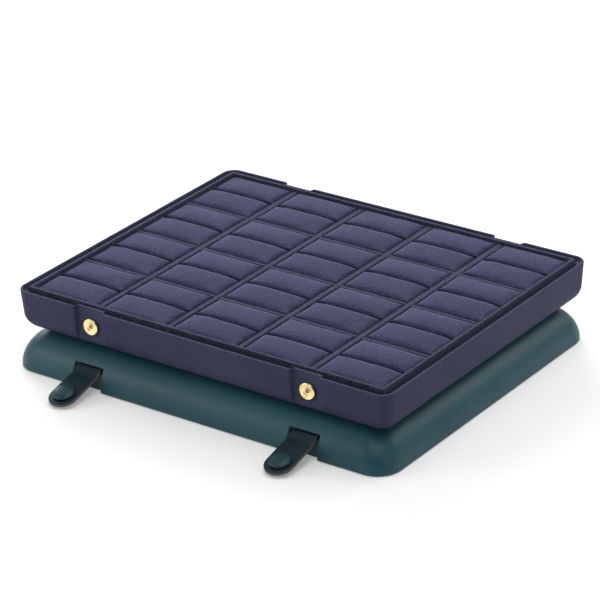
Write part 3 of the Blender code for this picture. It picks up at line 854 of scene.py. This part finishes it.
def swell(form):
    verts = form.data.vertices
    before = [v.co.copy() for v in verts]
    held = form.vertex_groups.new(name="held")
    low = [v.index for v in verts if v.co.z < PINNED * PAD_TALL * SWELL_SCALE]
    held.add(low, 1.0, "REPLACE")
    cloth = form.modifiers.new("suede", "CLOTH")
    cloth.settings.quality = 6
    cloth.settings.use_pressure = True
    cloth.settings.uniform_pressure_force = PRESSURE
    cloth.settings.vertex_group_mass = "held"
    cloth.settings.effector_weights.gravity = 0.0
    cloth.point_cache.frame_start, cloth.point_cache.frame_end = 1, FRAMES
    for step in range(1, FRAMES + 1):
        scene.frame_set(step)
    swollen = form.evaluated_get(bpy.context.evaluated_depsgraph_get()).data
    moves = [new.co - old for old, new in zip(before, swollen.vertices)]
    form.modifiers.clear()
    for v, move in zip(verts, moves):
        v.co += move * min(1.0, LARGEST_MOVE * SWELL_SCALE / max(move.length, 1e-9))
    scene.frame_set(1)
    return max(move.length for move in moves) / SWELL_SCALE


print("pinned below", round(1000 * PINNED * PAD_TALL, 1), "mm")

# %% [markdown]
# The block starts a little slimmer than its cell, with its slit open twice as wide. Where the
# cell's walls and the slit would stop the foam, the swollen form is stopped too, and its top is
# pressed back to the height of the rim. The upper back edge leans on the divider behind it by a
# quarter of a millimetre, as a full pad does.

# %% Stuff one pad
HALF_OPEN, SLIM = PAD_SLIT, 0.0001
TOP_BAND = 0.0007
LEAN, LEAN_PUSH, LEAN_RUN = 0.00028, 0.0006, 0.0030


def settle(bm):
    shoulder = PAD_TALL - TOP_BAND
    squeeze = TOP_BAND / (max(v.co.z for v in bm.verts) - shoulder)
    for v in bm.verts:
        if v.co.z > shoulder:
            v.co.z = shoulder + squeeze * (v.co.z - shoulder)
        high_up = ease((v.co.z / PAD_TALL - PINNED) / 0.15)
        v.co.x = min(max(v.co.x, -CELL_X), CELL_X)
        if v.co.y > 0:
            v.co.y += LEAN_PUSH * high_up * ease((v.co.y - CELL_Y + LEAN_RUN) / LEAN_RUN)
        v.co.y = min(max(v.co.y, -CELL_Y), CELL_Y + LEAN * high_up)
        if v.co.z > PAD_TALL - SLIT_DEEP + 0.001:
            v.co.y = math.copysign(max(abs(v.co.y), PAD_SLIT / 2), v.co.y)


def stuffed_pad(seed):
    bm = pad_block(seed, HALF_OPEN, SLIM)
    bmesh.ops.scale(bm, verts=bm.verts, vec=(SWELL_SCALE,) * 3)
    mesh = bpy.data.meshes.new("stuffing")
    bm.to_mesh(mesh)
    bm.free()
    form = bpy.data.objects.new("stuffing", mesh)
    scene.collection.objects.link(form)
    print("pad", seed, "swells by up to", round(1000 * swell(form), 2), "mm")
    bm = bmesh.new()
    bm.from_mesh(mesh)
    bpy.data.objects.remove(form)
    bmesh.ops.scale(bm, verts=bm.verts, vec=(1 / SWELL_SCALE,) * 3)
    settle(bm)
    return bm


kinds = [stuffed_pad(seed) for seed in (1, 2, 3)]
print(len(kinds), "stuffed forms of", len(kinds[0].verts), "points")

# %% [markdown]
# Three forms serve all twenty cells. Each pad takes one of them, every other one mirrored, and gets
# a slight unevenness of its own, as no two are stuffed quite alike. Deep in the slit, at the heel
# of the back roll and along the border of the cell little light gets in, so the points there
# carry a painted shade value, and the finish paints that shade into their colour.

# %% Twenty pads
UNEVEN = 0.00012
SUNK_FROM, SUNK_RUN = 0.0036, 0.0020
HEEL_SHADE, HEEL_RUN = 0.6, 0.0028
BORDER_SHADE, BORDER_RUN = 0.6, 0.0011


# painted shade: deep in the slit, at the back roll's heel and along the cell's border, where little
# light gets in
def pad_shade_paint(spot):
    sunk = ease((PAD_TALL - SUNK_FROM - spot.z) / SUNK_RUN)
    heel = HEEL_SHADE * ease(1 - (spot.y - PAD_SLIT / 2) / HEEL_RUN) if spot.y > 0 else 0.0
    border = min(CELL_X - abs(spot.x), CELL_Y - abs(spot.y))
    return max(sunk, heel, BORDER_SHADE * ease(1 - border / BORDER_RUN))


def pad_piece(column, row):
    node = "ring_pad_c%d_r%d" % (column, row)
    low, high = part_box(node)
    seed = 4 * column + row
    bm = kinds[seed % len(kinds)].copy()
    if seed % 2:
        bmesh.ops.scale(bm, verts=bm.verts, vec=(-1.0, 1.0, 1.0))
        bmesh.ops.reverse_faces(bm, faces=bm.faces)
    painted_shade = bm.verts.layers.float.new("painted_shade")
    for v in bm.verts:
        v[painted_shade] = pad_shade_paint(v.co)
        high_up = ease((v.co.z - 0.5 * PAD_TALL) / (0.5 * PAD_TALL))
        v.co.z += high_up * UNEVEN * noise.noise(Vector((60 * v.co.x, 60 * v.co.y, 3.7 * seed)))
    bmesh.ops.translate(bm, verts=bm.verts, vec=((low.x + high.x) / 2, (low.y + high.y) / 2, low.z))
    piece = make_piece(bm, "pad_c%d_r%d" % (column, row), [pad_suede], "tray", node,
                       180.0)
    soft = piece.modifiers.new("soft", "SUBSURF")
    soft.levels = soft.render_levels = 1
    return piece


pads = [pad_piece(column, row) for column in range(1, 6) for row in range(1, 5)]
for form in kinds:
    form.free()
print(len(pads), "pads of", len(pads[0].data.polygons), "faces each before smoothing")

# %% [markdown]
# ## Press studs
# The sockets in the tray's wall and the studs under the straps are turned from sheet brass, so a
# half profile is spun about the axis. A full spin merges its ends.

# %% Turned parts


def turned(profile, steps=40):
    bm = bmesh.new()
    verts = [bm.verts.new((r, 0.0, z)) for r, z in profile]
    edges = [bm.edges.new(pair) for pair in zip(verts[:-1], verts[1:])]
    bmesh.ops.spin(bm, geom=verts + edges, cent=(0, 0, 0), axis=(0, 0, 1), angle=math.tau,
                   steps=steps, use_merge=True, use_duplicate=False)
    bmesh.ops.remove_doubles(bm, verts=bm.verts, dist=1e-6)
    bmesh.ops.recalc_face_normals(bm, faces=bm.faces)
    return bm


PLACES = {"front_left": (-1, -STRAP_X), "front_right": (-1, STRAP_X),
          "back_left": (1, -STRAP_X), "back_right": (1, STRAP_X)}
SOCKET_DROP = 0.0106
SOCKET_FACE = [(0.0, -0.0026), (0.0014, -0.0026), (0.0014, 0.0003), (0.00435, 0.0003),
               (0.0046, 0.0004), (0.00473, 0.0006), (0.00475, 0.0008), (0.00468, 0.0011),
               (0.0045, 0.0013), (0.00425, 0.00142), (0.0040, 0.00144), (0.0037, 0.00136),
               (0.0033, 0.00122), (0.0026, 0.00112), (0.0019, 0.00104), (0.0014, 0.00098),
               (0.0012, 0.0009), (0.0011, 0.0007), (0.0011, 0.0006), (0.0, 0.0006)]


def socket_place(side, x):
    seat = Vector((x, TRAY_Y + side * TRAY_CHANNEL, RIM_Z - SOCKET_DROP))
    about = Matrix.Rotation(0.0 if side < 0 else math.pi, 4, "Z")
    return Matrix.Translation(seat) @ about @ Matrix.Rotation(math.radians(90), 4, "X")


print("socket", round(2000 * max(r for r, z in SOCKET_FACE), 1), "mm across")

# %% [markdown]
# Two bent wires lie in the socket's mouth and grip the stud. Each is a little circle, stood up and
# spun through a part of a turn, with its ends filled. A small disc of the same darker metal closes
# the mouth behind them.
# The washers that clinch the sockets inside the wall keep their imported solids.

# %% Sockets
WIRE_R, WIRE_AT, WIRE_Z, WIRE_TURN, WIRE_START = 0.00022, 0.00215, 0.00110, 1.3, 0.35
EYE_R, EYE_Z = 0.00105, 0.00066


def spring_wires():
    bm = bmesh.new()
    upright = Matrix.Rotation(math.radians(90), 3, "X")
    for start in (WIRE_START, WIRE_START + math.pi):
        ring = bmesh.ops.create_circle(bm, cap_ends=False, radius=WIRE_R, segments=10)["verts"]
        bmesh.ops.rotate(bm, verts=ring, cent=(0, 0, 0), matrix=upright)
        bmesh.ops.translate(bm, verts=ring, vec=(WIRE_AT, 0.0, WIRE_Z))
        bmesh.ops.rotate(bm, verts=ring, cent=(0, 0, 0), matrix=Matrix.Rotation(start, 3, "Z"))
        around = list({e for v in ring for e in v.link_edges})
        bmesh.ops.spin(bm, geom=list(ring) + around, cent=(0, 0, 0), axis=(0, 0, 1),
                       angle=WIRE_TURN, steps=14, use_merge=False, use_duplicate=False)
    bmesh.ops.holes_fill(bm, edges=[e for e in bm.edges if e.is_boundary], sides=0)
    eye = bmesh.ops.create_circle(bm, cap_ends=True, radius=EYE_R, segments=24)["verts"]
    bmesh.ops.translate(bm, verts=eye, vec=(0.0, 0.0, EYE_Z))
    bmesh.ops.recalc_face_normals(bm, faces=bm.faces)
    return bm


for name, (side, x) in PLACES.items():
    bm = turned(SOCKET_FACE, 48)
    bm.transform(socket_place(side, x))
    make_piece(bm, "socket_brass_" + name, [brass], "tray", "snap_socket_" + name, 45.0)
    bm = spring_wires()
    bm.transform(socket_place(side, x))
    make_piece(bm, "socket_spring_" + name, [spring_brass], "tray", None, 60.0)
    keep_packed("socket_washer_" + name, brass)
print(len(PLACES), "sockets")

# %% [markdown]
# ## Straps
# A strap is two layers of leather with a raw edge. It starts as a flat card with a round end, is
# given its thickness by an extrusion, gets its edges eased, and is sliced across so that it can
# bend. The path it follows comes out of the slit, turns down over its edge and goes on at an even
# slope until the stud rests on the table. It is measured along the leather, in steps of a tenth of a
# millimetre, so that the strap keeps its length.

# %% Strap path
STRAP_W = 0.0160
STRAP_BEND, BEND_RUN = 0.0019, 0.0028
CAP_AT = SLIT_Z + SOCKET_DROP + 0.0003
CAP_END = 0.0090
STRAP_FALL = 0.2501


def path_fall(run):
    return STRAP_BEND * (1 - math.exp(-(run / BEND_RUN) ** 2)) + STRAP_FALL * run


def path_at(along):
    run, total, step = 0.0, 0.0, 0.0001
    last = Vector((0.0, 0.0))
    while True:
        ahead = run + step
        here = Vector((ahead, path_fall(ahead)))
        piece = (here - last).length
        if total + piece >= along:
            share = max(0.0, along - total) / piece
            spot = last.lerp(here, share)
            way = (here - last).normalized()
            rise = Vector((0, -way.y, way.x))
            return Vector((0, -spot.x, -spot.y)), Vector((0, -way.x, -way.y)), rise
        run, total, last = ahead, total + piece, here


def strap_frame(side, x):
    about = Matrix.Rotation(0.0 if side < 0 else math.pi, 4, "Z")
    return Matrix.Translation(Vector((x, side * PIVOT_Y, SLIT_Z))) @ about


print("strap path falls", round(1000 * path_fall(CAP_AT), 1), "mm in a run of",
      round(1000 * CAP_AT, 1), "mm")

# %% [markdown]
# The card is cut and sliced first. Its side faces are marked before the slicing, so that the raw
# edge keeps a finish of its own.

# %% Strap card
ROOT_IN, EDGE_ROUND, SLICES = 0.0008, 0.00028, 40


def strap_card():
    bm = bmesh.new()
    root, tip = -ROOT_IN, CAP_AT + CAP_END
    card = bmesh.ops.create_grid(bm, x_segments=1, y_segments=1, size=1.0)["verts"]
    bmesh.ops.scale(bm, verts=card, vec=(STRAP_W / 2, (tip - root) / 2, 1.0))
    bmesh.ops.translate(bm, verts=card, vec=(0.0, (tip + root) / 2, -STRAP_T / 2))
    ends = [v for v in card if v.co.y > 0.01]
    bmesh.ops.bevel(bm, geom=ends, offset=STRAP_W / 2 - 0.00002, offset_type="OFFSET", segments=14,
                    profile=0.5, affect="VERTICES", material=-1)
    bmesh.ops.remove_doubles(bm, verts=bm.verts, dist=0.0001)
    made = bmesh.ops.extrude_face_region(bm, geom=list(bm.faces))
    lifted = [v for v in made["geom"] if isinstance(v, bmesh.types.BMVert)]
    bmesh.ops.translate(bm, verts=lifted, vec=(0.0, 0.0, STRAP_T))
    bmesh.ops.recalc_face_normals(bm, faces=bm.faces)
    rims = [e for e in bm.edges if abs(e.verts[0].co.z - e.verts[1].co.z) < 1e-7]
    bmesh.ops.bevel(bm, geom=rims, offset=EDGE_ROUND, offset_type="OFFSET", segments=3,
                    profile=0.5, affect="EDGES", material=-1)
    for f in bm.faces:
        f.material_index = 1 if abs(f.normal.z) < 0.4 else 0
    for k in range(1, SLICES):
        slice_block(bm, (0, root + k * (tip - root) / SLICES, 0), (0, 1, 0))
    return bm


print("strap card", round(1000 * (CAP_AT + CAP_END + ROOT_IN), 1), "x", 1000 * STRAP_W, "mm")

# %% [markdown]
# Every point of a card is carried onto the path. Near the slit the strap is a little narrower and
# its side edges droop, as leather pinched in a slit does, and its upper face is faintly crowned.

# %% Straps
PINCH_RUN = 0.0110
ROOT_TAPER = 0.08
SHOULDER = 0.0004
CROWNED = 0.00012


def lay_on_path(bm):
    for v in bm.verts:
        along = v.co.y
        spot, way, rise = path_at(max(along, 0.0))
        if along < 0:
            spot = spot + way * along
        bulge = CROWNED * math.cos(math.pi * v.co.x / STRAP_W)
        pinch = 1 - ease(along / PINCH_RUN)
        shoulder = SHOULDER * pinch * abs(2 * v.co.x / STRAP_W) ** 4
        across = v.co.x * (1 - ROOT_TAPER * pinch)
        lift = v.co.z + (bulge if v.co.z > 0 else 0.0) - shoulder
        v.co = Vector((across, 0.0, 0.0)) + spot + rise * lift


for name, (side, x) in PLACES.items():
    bm = strap_card()
    lay_on_path(bm)
    bmesh.ops.recalc_face_normals(bm, faces=bm.faces)
    bm.transform(strap_frame(side, x))
    strap = make_piece(bm, "strap_leather_" + name, [strap_skin, raw_edge], None, "strap_" + name,
                       45.0)
    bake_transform(strap)
print("straps", round(1000 * (CAP_AT + CAP_END), 1), "mm long")

# %% [markdown]
# The cap over each stud is a brass button under a stretched circle of the same leather, so it has
# a smooth crown and an edge that turns under. Below the strap the stud's flange and nipple show
# when the strap is lifted. Both are spun, then set square to the strap where its path says.

# %% Caps and studs
spot, way, rise = path_at(CAP_AT)
upright = Matrix(((1.0, 0.0, 0.0, spot.x), (0.0, -way.y, rise.y, spot.y),
                  (0.0, -way.z, rise.z, spot.z), (0.0, 0.0, 0.0, 1.0)))
TOP = STRAP_T / 2 + GAP
CAP_R, CAP_H = 0.00615, 0.0026
cap_profile = [(0.0, -TOP - 0.0006), (0.0014, -TOP - 0.0006), (0.0014, TOP), (CAP_R - 0.0011, TOP),
               (CAP_R - 0.0006, TOP + 0.0001), (CAP_R - 0.0002, TOP + 0.0004), (CAP_R, TOP + 0.0008)]
for degrees in range(12, 91, 6):
    a = math.radians(degrees)
    cap_profile.append((CAP_R * math.cos(a) ** 0.80, TOP + 0.0008 + (CAP_H - 0.0008) * math.sin(a)))
cap_profile[-1] = (0.0, TOP + CAP_H)
STUD_H = 0.0024
stud_profile = [(0.0017, -TOP), (0.0042, -TOP), (0.0044, -TOP - 0.0002), (0.0043, -TOP - 0.0005),
                (0.0036, -TOP - 0.0006), (0.0026, -TOP - 0.0006), (0.0022, -TOP - 0.0008),
                (0.0020, -TOP - 0.0011), (0.0020, -TOP - 0.0014), (0.0021, -TOP - 0.0018),
                (0.0021, -TOP - 0.0021), (0.0020, -TOP - 0.0023), (0.0018, -TOP - STUD_H),
                (0.0017, -TOP - STUD_H), (0.0017, -TOP)]
for name, (side, x) in PLACES.items():
    bm = turned(cap_profile, 56)
    bm.transform(strap_frame(side, x) @ upright)
    make_piece(bm, "cap_leather_" + name, [cap_skin], "strap_" + name, "snap_cap_" + name,
               50.0)
    bm = turned(stud_profile, 40)
    bm.transform(strap_frame(side, x) @ upright)
    make_piece(bm, "stud_brass_" + name, [brass], "strap_" + name, "snap_stud_" + name,
               45.0)
print(len(PLACES), "caps and studs")
